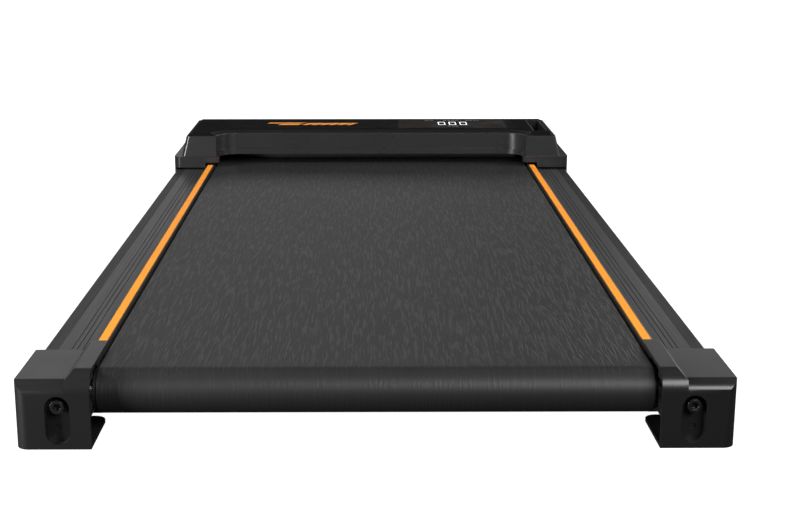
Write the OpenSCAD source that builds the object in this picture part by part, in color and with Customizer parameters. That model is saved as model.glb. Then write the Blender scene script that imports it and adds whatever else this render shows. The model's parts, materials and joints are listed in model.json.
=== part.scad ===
/* [Overall] */
// Length over the rear caps and the motor hood
total_l = 1056; // [880:1:1400]
// Height of the motor hood's top panel above the floor
total_h = 96; // [90:1:120]
// Width of the walking belt
belt_w = 410; // [380:1:520]

/* [Walking belt and rollers] */
// Height of the walking surface above the floor
belt_top = 53.5; // [52:0.5:56]
// Thickness of the belt
belt_t = 1.8; // [1.2:0.1:2.5]
// Outer radius of both roller tubes
roller_r = 15.6; // [13:0.1:16]
// Wall of the roller tubes
roller_wall = 2; // [1.5:0.1:3]
// Play between the belt and the roller tubes
belt_play = 0.3; // [0.2:0.1:0.6]
// Distance from the belt's edge to the side rail
belt_gap = 4; // [3:0.5:8]
// How far each roller tube stands out past the belt's edge
roller_over = 2.8; // [0:0.1:3]
// Rear roller axis, measured from the rear end
rear_axis = 31; // [28:1:40]
// Front roller axis, measured from the front end
front_axis = 119; // [117:1:125]
// Radius of the fixed roller shafts
shaft_r = 5; // [4:0.5:6]
// Outer radius of the roller bearings
bearing_r = 13; // [11:0.5:13]
// Width of the roller bearings
bearing_w = 8; // [6:0.5:10]
// Radial play of a turning fit
run_play = 0.05; // [0.02:0.01:0.1]
// How far the rear roller can be let forward
tension_travel = 8; // [4:1:10]

/* [Deck] */
// Thickness of the deck board
deck_t = 14; // [10:0.5:15]
// Number of cross bars under the deck
bars = 4; // [3:1:5]
// Width of a cross bar along the machine
bar_w = 30; // [20:1:40]
// Height of a cross bar
bar_h = 12.5; // [8:0.5:13]
// Wall of a cross bar
bar_wall = 1.6; // [1.2:0.1:2.5]
// Thickness of the rubber cushions between deck and bars
cushion_t = 2.6; // [2:0.1:4]

/* [Side rails] */
// Width of a side rail
rail_w = 49.5; // [44:0.5:60]
// Height of the rail's flat top above the floor
rail_top = 49; // [48:0.5:50]
// Height of the rail's underside above the floor
rail_z = 8; // [7:0.5:12]
// Wall of the rail extrusion
rail_wall = 2.4; // [1.8:0.1:3]
// Radius of the rail's outer edges
rail_edge_r = 2.5; // [1:0.5:4]
// How far the raised lip beside the belt stands above the flat top
lip_h = 5.5; // [3:0.5:6]
// Width of the raised lip at its top
lip_w = 8.2; // [8:0.1:9]
// Width of the colour stripe in the lip
stripe_w = 6.6; // [4:0.1:7.4]
// Thickness of the stripe
stripe_t = 1.2; // [0.8:0.1:2]
// How far the stripe stands proud of the lip
stripe_proud = 0.5; // [0.1:0.1:0.8]

/* [Rear caps] */
// Length of the low outer part of a rear cap
cap_l = 79; // [70:1:90]
// Length of the raised inner part of a rear cap
cap_lip_l = 82; // [75:1:95]
// How far the cap stands out from the rail's side
cap_side = 4.2; // [3.6:0.1:6]
// Thickness of the cap's front wall
cap_wall = 3; // [2.5:0.1:4]
// Thickness of the cap's floor plate
cap_floor_t = 2.5; // [2:0.1:4]
// Length of the cap's floor plate
cap_floor_l = 64; // [50:1:70]
// Radius of the floor plate's inner corner
floor_corner_r = 9; // [4:0.5:12]
// Radius of the cap's upright outer corner
cap_corner_r = 9.5; // [5:0.5:14]
// Radius over the front of the cap's outer part
cap_round = 10; // [4:0.5:10.5]
// Radius over the front of the cap's raised part
cap_lip_round = 15.5; // [10:0.5:18]
// Width of the screw slot in the cap's face
slot_w = 18; // [14:0.5:20]
// Height of the screw slot
slot_h = 36.8; // [30:0.2:38]
// Depth of the cup behind the screw slot
slot_depth = 7.2; // [6:0.2:9]
// Distance from the rail's inner side to the slot's middle
slot_x = 22; // [20:0.5:24]
// Radius of the tension screw
screw_r = 3; // [2.5:0.5:4]
// Height of the tension screw above the floor
screw_z = 32.2; // [30:0.2:33]

/* [Motor hood] */
// Length of the hood
hood_l = 182; // [176:1:200]
// Width by which the hood stands out from the rail's side
hood_side = 3; // [2.6:0.1:5]
// Wall of the hood
hood_wall = 2.6; // [2:0.1:2.6]
// Height of the hood's lower body
hood_step = 66; // [64:0.5:68]
// Width of the ledge around the upper body
ledge_w = 10; // [8:0.5:12]
// Lean of the upper body's sides
lean = 6.5; // [3:0.5:8]
// Lean of the upper body's far face
back_lean = 20; // [10:1:24]
// Depth of the foot in front of the middle wall
recess_d = 31; // [25:1:31]
// Radius of the inner corners of the recess
recess_r = 28; // [20:1:30]
// Thickness of the top panel
panel_t = 3.5; // [2.5:0.1:4]
// Width of the bevel at the panel's sides
bevel_w = 6.5; // [4:0.5:8]
// Width of the bevel above the middle wall
front_bevel_w = 18; // [10:1:20]

/* [Hood details] */
// Length of the remote control's pocket
pocket_l = 95; // [70:1:100]
// Width of the pocket
pocket_w = 16; // [12:0.5:18]
// Depth of the pocket
pocket_d = 26; // [15:1:27]
// Wall of the pocket
pocket_wall = 1.2; // [1:0.1:2]
// Length of the display window along the machine
window_l = 75; // [50:1:80]
// Width of the display window
window_w = 148; // [100:1:150]
// Height of a display digit
digit_h = 32; // [20:1:40]
// Width of a display digit
digit_w = 11; // [8:0.5:12]

/* [Drive] */
// Radius of the motor's housing
motor_r = 35; // [28:0.5:35.5]
// Length of the motor's housing
motor_l = 166; // [120:1:170]
// Height of the motor's axis
motor_z = 50; // [48:0.5:51]
// Distance from the motor's axis to the front end
motor_back = 56; // [54:0.5:58]
// Radius of the motor's shaft
motor_shaft_r = 5; // [4:0.5:6]
// Radius of the pulley on the front roller
big_pulley_r = 21.5; // [18:0.5:22]
// Radius of the pulley on the motor
small_pulley_r = 9.5; // [8:0.5:12]
// Width of both pulleys
pulley_w = 15; // [10:0.5:18]
// Thickness of the drive belt
drive_t = 2; // [1.5:0.1:2.5]
// Radius of the cooling fan
fan_r = 31; // [20:0.5:32]
// Number of fan blades
fan_blades = 8; // [5:1:12]

/* [Wheels and feet] */
// Radius of a transport wheel
wheel_r = 19; // [15:0.5:20]
// Width of a transport wheel
wheel_w = 11; // [8:0.5:12]
// Height of the wheels above the floor
wheel_lift = 2; // [1:0.5:4]
// Radius of a rubber foot
foot_r = 14; // [10:0.5:16]

/* [Power entry] */
// Width of the appliance inlet
inlet_w = 28; // [27:0.5:30]
// Height of the appliance inlet
inlet_h = 22; // [20:0.5:24]
// Width of the power switch
switch_w = 21; // [15:0.5:21]
// Height of the power switch
switch_h = 15; // [12:0.5:18]
// Radius of the breaker's reset button
reset_r = 4.5; // [3:0.5:5]
// Travel of the reset button
reset_travel = 2.5; // [1:0.5:3]
// Tilt of the rocker to each side
rocker_tilt = 7; // [5:1:9]

/* [Hidden] */
$fn = 64;
eps = 0.01;
far = 2000;

rear = -total_l / 2;
front = total_l / 2;

// widths, as distances from the middle plane
belt_x = belt_w / 2;
rail_in = belt_x + belt_gap;
rail_out = rail_in + rail_w;
cap_in = rail_in - 1.8;
cap_out = rail_out + cap_side;
hood_x = rail_out + hood_side;
upper_x = hood_x - ledge_w;
cap_top = rail_top + 2.2;
cap_lip_top = rail_top + lip_h + 3.2;
lip_slope = 4.4;

// belt loop
belt_r = roller_r + belt_play + belt_t;
roller_z = belt_top - belt_r;
roller_x = belt_x + roller_over;
bearing_out = min(bearing_r, roller_r - roller_wall);
rear_y = rear + rear_axis;
front_y = front - front_axis;

// deck and cross bars
deck_top = belt_top - belt_t - 0.1;
deck_z = deck_top - deck_t;
deck_y0 = rear_y + roller_r + tension_travel + 3.5;
deck_y1 = front_y - belt_r - 4;
deck_x = belt_x - 1;
bar_room = deck_z - cushion_t - (roller_z - belt_r + belt_t + 1);
bar_high = min(bar_h, bar_room);
bar_z = deck_z - cushion_t - bar_high;
bar_first = deck_y0 + 70;
bar_last = deck_y1 - 60;
bar_ys = [for (i = [0 : bars - 1]) bar_first + (bar_last - bar_first) * i / (bars - 1)];
cushion_xs = [for (f = [-0.9, -0.3, 0.3, 0.9]) f * deck_x];

// rails
rail_y0 = rear + 55;
hood_y = front - hood_l;
rail_y1 = hood_y + 16;
stripe_y0 = rear + cap_lip_l + 1.5;
groove_w = 0.7;
groove_d = 0.8;
groove_x = [18.7, 23.2, 27.3];
rib_x0 = 38.3;
rib_pitch = 1.25;
ribs = 8;

// tension gear
slot_cx = rail_in + slot_x;
slot_z0 = 3.7;
cup_wall = 1.1;
cup_floor = 1.4;
head_r = 5.1;
head_l = 6;
head_gap = 0.1;
plate_t = 2.5;
cup_back = slot_depth + cup_floor;
end_plate_y = rear + cup_back + 0.1;
channel_x0 = rail_in + 4;
channel_x1 = rail_in + 37;
channel_z0 = rail_z + rail_wall + 3.2;
channel_z1 = rail_top - rail_wall - 0.4;
bracket_l = 120;
block_l = 24;
block_play = 0.3;
block_x1 = channel_x1 - plate_t - block_play;
shaft_end = slot_cx - screw_r - 3.2;
screw_tip = rear_axis + block_l / 2 + tension_travel + 6;

// hood
hood_roof = total_h - panel_t;
hood_floor = 5;
foot_z = rail_top + 2.5;
flange_in = rail_in - 7;
wall_in = rail_in - 3;
wall_y = hood_y + recess_d;
lip_y = wall_y - 5;
lip_z0 = belt_top + 11.8;
lip_z1 = lip_z0 + 6.7;
flange_z = rail_top + lip_h + 3.5;
notch_x = rail_in + 11.2;
panel_x = upper_x - lean - bevel_w;
panel_in = wall_in + bevel_w + 1;
panel_y0 = hood_y + 3 + 4.5;
panel_front = wall_y + front_bevel_w;
upper_back = front - 8;
roof_back = upper_back - back_lean;
panel_back = roof_back - 14;
hood_corner_r = 9;

// pocket, window and digits, in the panel
pocket_x1 = panel_x - 3.5;
pocket_x0 = pocket_x1 - pocket_w;
pocket_y0 = hood_y + 29;
window_x0 = 38;
window_y0 = panel_front + 8;
digit_pitch = 15;
digit_x0 = window_x0 + 55;
digit_y0 = window_y0 + 24;
board_t = 1.6;

// front frame and covers
frame_y0 = rail_y1 + 3;
frame_y1 = front - 8;
frame_x = rail_in + 30;
frame_t = 2;
frame_z = 8;
frame_h = 38;
tab_l = 40;
cover_t = 2.6;
cover_z = hood_floor;
boss_r = 4;
boss_at = [[-100, front - 10.5], [60, front - 10.5], [-rail_out + 8.5, hood_y + 26], [rail_out - 8.5, hood_y + 26]];
cover_screw_r = 1.7;

board_z = hood_roof - hood_wall - 8.2;
guard_x = belt_x - 5;
guard_t = 2;
guard_top = board_z - 1;

// drive
motor_y = front - motor_back;
motor_x0 = -(rail_in - 21);
motor_x1 = motor_x0 + motor_l;
pulley_x1 = -(roller_x + 5);
pulley_x0 = pulley_x1 - pulley_w;
fan_x0 = motor_x1 + 5;
fan_w = 14;
bracket_webs = [motor_x0 + 24, motor_x1 - 28];

// control board and power entry
ctrl_x0 = 25;
ctrl_w = 96;
ctrl_y0 = front - 92;
ctrl_l = 68;
ctrl_z = frame_z + frame_t + 10;
entry_z = 41;
inlet_x = 198;
switch_x = 163;
breaker_x = 138;
rocker_dish = 32;

// transport wheels
wheel_x0 = frame_x + 4;
wheel_y = front - wheel_r - 1.2;
wheel_z = wheel_r + wheel_lift;
axle_r = 4;
foot_ys = [rear + 160, (rear + hood_y) / 2, hood_y - 30];

module at_side(s) {
    mirror([s < 0 ? 1 : 0, 0, 0]) children();
}

// a profile drawn in X and Z, running from y0 to y1
module along_y(y0, y1) {
    translate([0, y1, 0]) rotate([90, 0, 0]) linear_extrude(y1 - y0) children();
}

// a profile drawn in Y and Z, running from x0 to x1
module along_x(x0, x1) {
    translate([x0, 0, 0]) rotate([90, 0, 90]) linear_extrude(x1 - x0) children();
}

module rod_x(x0, x1, y, z, r) {
    translate([x0, y, z]) rotate([0, 90, 0]) cylinder(h = x1 - x0, r = r);
}

module rod_y(x, y0, y1, z, r) {
    translate([x, y1, z]) rotate([90, 0, 0]) cylinder(h = y1 - y0, r = r);
}

module box(x0, x1, y0, y1, z0, z1) {
    translate([x0, y0, z0]) cube([x1 - x0, y1 - y0, z1 - z0]);
}

// a rectangle with one radius at all its corners
module round_rect(x0, x1, y0, y1, r) {
    translate([x0 + r, y0]) square([x1 - x0 - 2 * r, y1 - y0]);
    translate([x0, y0 + r]) square([x1 - x0, y1 - y0 - 2 * r]);
    for (x = [x0 + r, x1 - r]) {
        for (y = [y0 + r, y1 - r]) translate([x, y]) circle(r = r);
    }
}

// ---- side rails ----

module rail_outline() {
    r = rail_edge_r;
    difference() {
        polygon([[rail_in, rail_z], [rail_in, rail_top + lip_h], [rail_in + lip_w, rail_top + lip_h],
            [rail_in + lip_w + lip_slope, rail_top], [rail_out, rail_top], [rail_out, rail_z]]);
        difference() {
            translate([rail_out - r, rail_z - 1]) square([r + 1, rail_top - rail_z + 2]);
            for (z = [rail_z + r, rail_top - r]) translate([rail_out - r, z]) circle(r = r);
            translate([rail_out - r, rail_z + r]) square([r, rail_top - rail_z - 2 * r]);
        }
    }
}

module rail_profile() {
    difference() {
        rail_outline();
        translate([rail_in + rail_wall, rail_z + rail_wall])
            square([rail_w - 2 * rail_wall, rail_top - rail_z - 2 * rail_wall]);
        for (g = groove_x) translate([rail_in + g, rail_top - groove_d]) square([groove_w, 2 * groove_d]);
        for (i = [0 : ribs - 1])
            translate([rail_in + rib_x0 + i * rib_pitch, rail_top - groove_d * 0.75])
                square([rib_pitch / 2, groove_d]);
        translate([rail_in + 0.8, rail_top + lip_h - stripe_t + stripe_proud])
            square([stripe_w, stripe_t]);
    }
}

module rail(s) {
    color("dimgray") at_side(s) along_y(rail_y0, rail_y1) rail_profile();
}

module stripe(s) {
    color("darkorange") at_side(s)
        box(rail_in + 0.8, rail_in + 0.8 + stripe_w, stripe_y0, hood_y - 0.5,
            rail_top + lip_h - stripe_t + stripe_proud, rail_top + lip_h + stripe_proud);
}

// ---- rear caps ----

// a block from the low side x0 to x1 and from y0 to y1, rounded at its upright outer corner and over its front
module cap_low_form(x0, x1, y0, y1, z1, corner, round) {
    intersection() {
        linear_extrude(far) {
            difference() {
                translate([x0, y0]) square([x1 - x0, y1 - y0]);
                translate([x1 - corner, y0]) square([corner, corner]);
            }
            translate([x1 - corner, y0 + corner]) circle(r = corner);
        }
        along_x(x0, x1) {
            difference() {
                translate([y0, 0]) square([y1 - y0, z1]);
                translate([y0, z1 - round]) square([round, round]);
            }
            translate([y0 + round, z1 - round]) circle(r = round);
        }
    }
}

module cap_lip_form(y0, y1, grow, z1, round) {
    intersection() {
        along_y(y0, y1) polygon([[cap_in, 0], [cap_in, z1], [rail_in + lip_w + grow, z1],
            [rail_in + lip_w + grow + (z1 - rail_top - 2) * 0.93, rail_top + 2], [rail_in + lip_w + grow + 5, 0]]);
        along_x(cap_in, cap_out) {
            difference() {
                translate([y0, 0]) square([y1 - y0, z1]);
                translate([y0, z1 - round]) square([round, round]);
            }
            translate([y0 + round, z1 - round]) circle(r = round);
        }
    }
}

module slot_shape(grow) {
    r = slot_w / 2 + grow;
    for (z = [slot_z0 + slot_w / 2, slot_z0 + slot_h - slot_w / 2])
        translate([slot_cx, z]) circle(r = r);
    translate([slot_cx - r, slot_z0 + slot_w / 2]) square([2 * r, slot_h - slot_w]);
}

module rear_cap(s) {
    inner_top = rail_top + 0.2;
    color("dimgray") at_side(s) difference() {
        union() {
            cap_low_form(cap_in, cap_out, rear, rear + cap_l, cap_top, cap_corner_r, cap_round);
            cap_lip_form(rear, rear + cap_lip_l, 2.6, cap_lip_top, cap_lip_round);
        }
        // room for the rail and the tension gear, open to the inner side and to the front
        difference() {
            cap_low_form(0, rail_out + 0.6, rear + cap_wall, rear + cap_lip_l + 1, inner_top,
                cap_corner_r - cap_wall, cap_round - cap_wall);
            box(-1, cap_out, rear, rear + far / 2, -1, cap_floor_t);
        }
        along_y(rear + cap_wall + cap_lip_round, rear + far / 2)
            polygon([[0, inner_top - 5], [0, rail_top + lip_h + 0.3], [rail_in + lip_w + 0.2, rail_top + lip_h + 0.3],
                [rail_in + lip_w + lip_slope + 0.4, rail_top + 0.2], [rail_in + lip_w + lip_slope + 0.4, inner_top - 5]]);
        along_y(rear - eps, rear + cap_wall + eps) slot_shape(0);
        box(0, cap_out + eps, rear + cap_floor_l, rear + far / 2, -eps, cap_floor_t + eps);
        // the floor plate's inner corner is round
        translate([0, 0, -eps]) linear_extrude(cap_floor_t + 2 * eps) difference() {
            translate([cap_in - 1, rear + cap_floor_l - floor_corner_r]) square(floor_corner_r + 1);
            translate([cap_in + floor_corner_r, rear + cap_floor_l - floor_corner_r]) circle(r = floor_corner_r);
        }
        for (y = [22, 46])
            translate([slot_cx + 4, rear + y, -eps]) cylinder(h = cap_floor_t + 1, r = 2.2);
    }
}

module slot_cup(s) {
    color("black") at_side(s) difference() {
        along_y(rear + cap_wall + 0.05, rear + cup_back) slot_shape(cup_wall);
        along_y(rear, rear + slot_depth) slot_shape(-0.4);
        rod_y(slot_cx, rear, rear + far / 2, screw_z, screw_r + 0.15);
        rod_y(slot_cx + 1, rear, rear + slot_depth + 0.9, screw_z - 17.5, 2.2);
        rod_y(slot_cx, rear + slot_depth - 0.9, rear + slot_depth + eps, screw_z, head_r + 0.6);
    }
}

// ---- tension gear ----

module rear_bracket(s) {
    y1 = rear + bracket_l;
    color("silver") at_side(s) difference() {
        union() {
            box(channel_x0, channel_x1, end_plate_y, end_plate_y + plate_t, channel_z0, channel_z1);
            box(channel_x1 - plate_t, channel_x1, end_plate_y, y1, channel_z0, channel_z1);
            box(channel_x0, channel_x1, end_plate_y, y1, channel_z0, channel_z0 + plate_t);
            box(channel_x0, channel_x1, end_plate_y, y1, channel_z1 - plate_t, channel_z1);
            box(slot_cx - 4, slot_cx + 12, end_plate_y, rear + 58, cap_floor_t, channel_z0 + eps);
        }
        rod_y(slot_cx, rear, rear + 60, screw_z, screw_r + 0.15);
        for (y = [22, 46])
            translate([slot_cx + 4, rear + y, cap_floor_t - eps]) cylinder(h = 9, r = 1.6);
        box(slot_cx - 4 - eps, slot_cx + 12 + eps, rail_y0 - 0.4, rear + 60, 0, channel_z0 - 0.2);
    }
}

module tension_block(s) {
    y0 = rear_y - block_l / 2;
    color("gray") at_side(s) difference() {
        box(channel_x0 + 0.5, block_x1, y0, y0 + block_l,
            channel_z0 + plate_t + block_play, channel_z1 - plate_t - block_play);
        rod_x(0, shaft_end + 0.1, rear_y, roller_z, shaft_r + 0.02);
        rod_y(slot_cx, y0 - 1, y0 + block_l + 1, screw_z, screw_r + run_play);
    }
}

module tension_screw(s) {
    y0 = rear + slot_depth - 0.9 - head_gap;
    color("black") at_side(s) difference() {
        union() {
            rod_y(slot_cx, y0 - head_l, y0, screw_z, head_r);
            rod_y(slot_cx, y0 - eps, rear + screw_tip, screw_z, screw_r);
        }
        translate([slot_cx, y0 - head_l + 3.2, screw_z]) rotate([90, 0, 0])
            cylinder(h = 4, r = 2.9, $fn = 6);
    }
}

module cap_screws() {
    color("silver") for (s = [-1, 1]) at_side(s) for (y = [22, 46])
        translate([slot_cx + 4, rear + y, 0.3]) {
            difference() {
                cylinder(h = cap_floor_t - 0.3, r = 2.15);
                translate([0, 0, -eps]) cylinder(h = 1.2, r = 1.2, $fn = 6);
            }
            translate([0, 0, cap_floor_t - 0.4]) cylinder(h = 8, r = 1.55);
        }
}

// ---- belt, deck and rollers ----

module loop_shape(r) {
    for (y = [rear_y, front_y]) translate([y, roller_z]) circle(r = r);
    translate([rear_y, roller_z - r]) square([front_y - rear_y, 2 * r]);
}

module belt() {
    color("dimgray") along_x(-belt_x, belt_x) difference() {
        loop_shape(belt_r);
        loop_shape(belt_r - belt_t);
    }
}

module deck() {
    color("peru") difference() {
        box(-deck_x, deck_x, deck_y0, deck_y1, deck_z, deck_top);
        for (y = bar_ys) for (x = cushion_xs) {
            translate([x, y, deck_top - 3]) cylinder(h = 4, r = 4.5);
            translate([x, y, deck_z - 1]) cylinder(h = deck_t, r = 2.5);
        }
    }
}

module deck_cushions() {
    color("black") for (y = bar_ys) for (x = cushion_xs) difference() {
        translate([x, y, deck_z - cushion_t]) cylinder(h = cushion_t, r = 12);
        translate([x, y, deck_z - cushion_t - 1]) cylinder(h = cushion_t + 2, r = 2.5);
    }
}

module cross_bars() {
    color("silver") for (y = bar_ys) difference() {
        box(-rail_in, rail_in, y - bar_w / 2, y + bar_w / 2, bar_z, bar_z + bar_high);
        box(-rail_in - 1, rail_in + 1, y - bar_w / 2 + bar_wall, y + bar_w / 2 - bar_wall,
            bar_z + bar_wall, bar_z + bar_high - bar_wall);
        for (x = cushion_xs)
            translate([x, y, bar_z + bar_high - bar_wall - 1]) cylinder(h = bar_wall + 2, r = 2.3);
    }
}

module deck_screws() {
    color("silver") for (y = bar_ys) for (x = cushion_xs) {
        translate([x, y, deck_top - 3]) difference() {
            cylinder(h = 2.8, r = 4.3);
            translate([0, 0, 1.2]) cylinder(h = 3, r = 2, $fn = 6);
        }
        translate([x, y, bar_z + bar_high - 4]) cylinder(h = deck_top + 1 + eps - bar_z - bar_high, r = 2.2);
    }
}

module roller_tube(y) {
    difference() {
        rod_x(-roller_x, roller_x, y, roller_z, roller_r);
        rod_x(-roller_x - 1, roller_x + 1, y, roller_z, roller_r - roller_wall);
    }
    // end cups that hold the bearings
    for (s = [-1, 1]) at_side(s) difference() {
        rod_x(roller_x - bearing_w - 3, roller_x, y, roller_z, roller_r - roller_wall + eps);
        rod_x(roller_x - bearing_w - 1, roller_x + 1, y, roller_z, bearing_out);
        rod_x(roller_x - bearing_w - 4, roller_x, y, roller_z, shaft_r + 2);
    }
}

module roller_bearings(y) {
    for (s = [-1, 1]) at_side(s) difference() {
        rod_x(roller_x - bearing_w - 1, roller_x - 1, y, roller_z, bearing_out);
        rod_x(roller_x - bearing_w - 2, roller_x, y, roller_z, shaft_r + run_play);
    }
}

module rear_roller() {
    color("black") roller_tube(rear_y);
}

module rear_roller_bearings() {
    color("silver") roller_bearings(rear_y);
}

module rear_roller_shaft() {
    color("silver") rod_x(-shaft_end, shaft_end, rear_y, roller_z, shaft_r);
}

module front_roller() {
    color("black") roller_tube(front_y);
}

module front_roller_bearings() {
    color("silver") roller_bearings(front_y);
}

module front_roller_shaft() {
    color("silver") rod_x(-frame_x, frame_x, front_y, roller_z, shaft_r);
}

// a pulley with grooves that run round it
module pulley_body(x0, x1, y, z, r) {
    groove = 1.2;
    n = floor((x1 - x0 - 2) / (2 * groove));
    difference() {
        rod_x(x0, x1, y, z, r);
        for (i = [0 : n - 1]) difference() {
            rod_x(x0 + 1.6 + i * 2 * groove, x0 + 1.6 + (2 * i + 1) * groove, y, z, r + 1);
            rod_x(x0, x1, y, z, r - 1);
        }
    }
}

module roller_pulley() {
    color("silver") difference() {
        union() {
            pulley_body(pulley_x0, pulley_x1, front_y, roller_z, big_pulley_r);
            rod_x(pulley_x1 - 1, -roller_x, front_y, roller_z, roller_r - roller_wall);
        }
        rod_x(pulley_x0 - 1, -roller_x + 1, front_y, roller_z, shaft_r + 1);
    }
}

// ---- motor ----

module motor_housing() {
    color("dimgray") difference() {
        union() {
            rod_x(motor_x0 + 12, motor_x1 - 12, motor_y, motor_z, motor_r);
            rod_x(motor_x0, motor_x1, motor_y, motor_z, motor_r - 2);
            rod_x(motor_x0 - 4, motor_x1 + 3, motor_y, motor_z, 12);
        }
        rod_x(motor_x0 + 5, motor_x1 - 5, motor_y, motor_z, motor_r - 6);
        rod_x(motor_x0 - 5, motor_x1 + 5, motor_y, motor_z, motor_shaft_r + run_play);
    }
}

module motor_shaft() {
    color("silver") {
        rod_x(pulley_x0 - 2, fan_x0 + fan_w + 2, motor_y, motor_z, motor_shaft_r);
        rod_x(motor_x0 + 22, motor_x1 - 22, motor_y, motor_z, motor_r - 9);
    }
}

module motor_pulley() {
    color("silver") difference() {
        pulley_body(pulley_x0, pulley_x1, motor_y, motor_z, small_pulley_r);
        rod_x(pulley_x0 - 1, pulley_x1 + 1, motor_y, motor_z, motor_shaft_r);
    }
}

module cooling_fan() {
    color("black") difference() {
        union() {
            rod_x(fan_x0, fan_x0 + fan_w, motor_y, motor_z, 10);
            rod_x(fan_x0, fan_x0 + 2, motor_y, motor_z, fan_r);
            intersection() {
                rod_x(fan_x0, fan_x0 + fan_w, motor_y, motor_z, fan_r);
                for (i = [0 : fan_blades - 1])
                    translate([fan_x0, motor_y, motor_z]) rotate([i * 360 / fan_blades, 0, 0])
                        translate([0, -0.8, 0]) cube([fan_w, 1.6, fan_r + 1]);
            }
        }
        rod_x(fan_x0 - 1, fan_x0 + fan_w + 1, motor_y, motor_z, motor_shaft_r);
    }
}

// the outline of a belt that is tight round two pulleys, with its straight runs on their tangents
module drive_loop(r1, r2) {
    dy = motor_y - front_y;
    dz = motor_z - roller_z;
    tilt = atan2(dz, dy);
    gap = norm([dy, dz]);
    a = acos((r1 - r2) / gap);
    translate([front_y, roller_z]) rotate(tilt) {
        circle(r = r1);
        translate([gap, 0]) circle(r = r2);
        polygon([[r1 * cos(a), r1 * sin(a)], [r1 * cos(a), -r1 * sin(a)],
            [gap + r2 * cos(a), -r2 * sin(a)], [gap + r2 * cos(a), r2 * sin(a)]]);
    }
}

module drive_belt() {
    color("black") along_x(pulley_x0 + 1, pulley_x1 - 1) difference() {
        drive_loop(big_pulley_r + drive_t, small_pulley_r + drive_t);
        drive_loop(big_pulley_r + run_play, small_pulley_r + run_play);
    }
}

module motor_bracket() {
    z0 = frame_z + frame_t;
    color("silver") difference() {
        union() {
            box(motor_x0 + 14, motor_x1 - 14, motor_y - 30, motor_y + 30, z0, z0 + 2);
            for (x = bracket_webs) box(x, x + 4, motor_y - 28, motor_y + 28, z0, motor_z - 14);
        }
        rod_x(motor_x0, motor_x1, motor_y, motor_z, motor_r + 0.05);
    }
}

// ---- front frame ----

module front_frame() {
    color("silver") difference() {
        union() {
            box(-frame_x, frame_x, frame_y0, frame_y1, frame_z, frame_z + frame_t);
            for (s = [-1, 1]) at_side(s) {
                box(frame_x - frame_t, frame_x, frame_y0, frame_y1, frame_z, frame_z + frame_h);
                // tongue that slides into the rail
                box(rail_in + rail_wall + 0.4, rail_in + rail_wall + 3.4, rail_y1 - tab_l, frame_y0 + 3,
                    frame_z + 6, frame_z + 34);
                box(rail_in + rail_wall + 0.4, frame_x, frame_y0, frame_y0 + 3, frame_z, frame_z + 34);
            }
        }
        rod_x(-frame_x - 1, frame_x + 1, front_y, roller_z, shaft_r);
        for (s = [-1, 1]) at_side(s) {
            rod_x(frame_x - 5, frame_x + 1, wheel_y, wheel_z, axle_r);
            for (y = [12, 28]) rod_x(rail_in, rail_in + 10, rail_y1 - y, frame_z + 20, 2.6);
        }
        for (p = boss_at) translate([p[0], p[1], 0]) cylinder(h = frame_z + frame_h, r = boss_r + 0.5);
        // clearance for the drive belt
        rod_x(pulley_x0 - 1, pulley_x1 + 1, front_y, roller_z, big_pulley_r + drive_t + 1.5);
    }
}

// a shield between the walking belt and the motor, standing on the frame
module belt_guard() {
    y1 = front_y + belt_r + 5;
    z0 = frame_z + frame_t;
    color("black") {
        box(-guard_x, guard_x, y1 - guard_t, y1, z0, guard_top);
        box(-guard_x, guard_x, y1 - 12, y1, z0, z0 + guard_t);
        for (x = [-guard_x, -guard_x / 3, guard_x / 3, guard_x - guard_t])
            box(x, x + guard_t, y1 - 12, y1, z0, z0 + 7);
    }
}

module frame_bolts() {
    color("silver") for (s = [-1, 1]) at_side(s) for (y = [12, 28]) {
        rod_x(rail_in + rail_wall + 3.5, rail_in + rail_wall + 7, rail_y1 - y, frame_z + 20, 4.5);
        rod_x(rail_in + rail_wall + 0.1, rail_in + rail_wall + 3.6, rail_y1 - y, frame_z + 20, 2.5);
    }
}

module bottom_cover() {
    z1 = cover_z + cover_t;
    color("black") difference() {
        union() {
            box(-frame_x, frame_x, frame_y0, front - hood_wall - 0.3, cover_z, z1);
            box(-rail_out, rail_out, frame_y0, wheel_y - wheel_r - 3, cover_z, z1);
        }
        for (p = boss_at) translate([p[0], p[1], 0]) cylinder(h = 20, r = cover_screw_r + 0.2);
        for (i = [-4 : 4]) box(i * 8 - 101.5, i * 8 - 98.5, motor_y - 25, motor_y + 25, 0, 20);
    }
}

module cover_screws() {
    color("silver") for (p = boss_at) {
        translate([p[0], p[1], cover_z - 2]) cylinder(h = 2, r = 3.2);
        translate([p[0], p[1], cover_z - eps]) cylinder(h = 12, r = cover_screw_r);
    }
}

// ---- hood ----

// the open bay in the front of the hood, seen from above
module bay(x, y, r) {
    difference() {
        translate([-x, hood_y - 50]) square([2 * x, y - hood_y + 50]);
        for (s = [-1, 1]) translate([s > 0 ? x - r : -x, y - r]) square([r, r]);
    }
    for (s = [-1, 1]) translate([s * (x - r), y - r]) circle(r = r);
}

module hood_lower(g, z0, z1, bay_r) {
    translate([0, 0, z0]) linear_extrude(z1 - z0) difference() {
        round_rect(-hood_x + g, hood_x - g, hood_y + g, front - g, hood_corner_r - g);
        bay(flange_in + g, lip_y + g, bay_r);
    }
}

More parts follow.
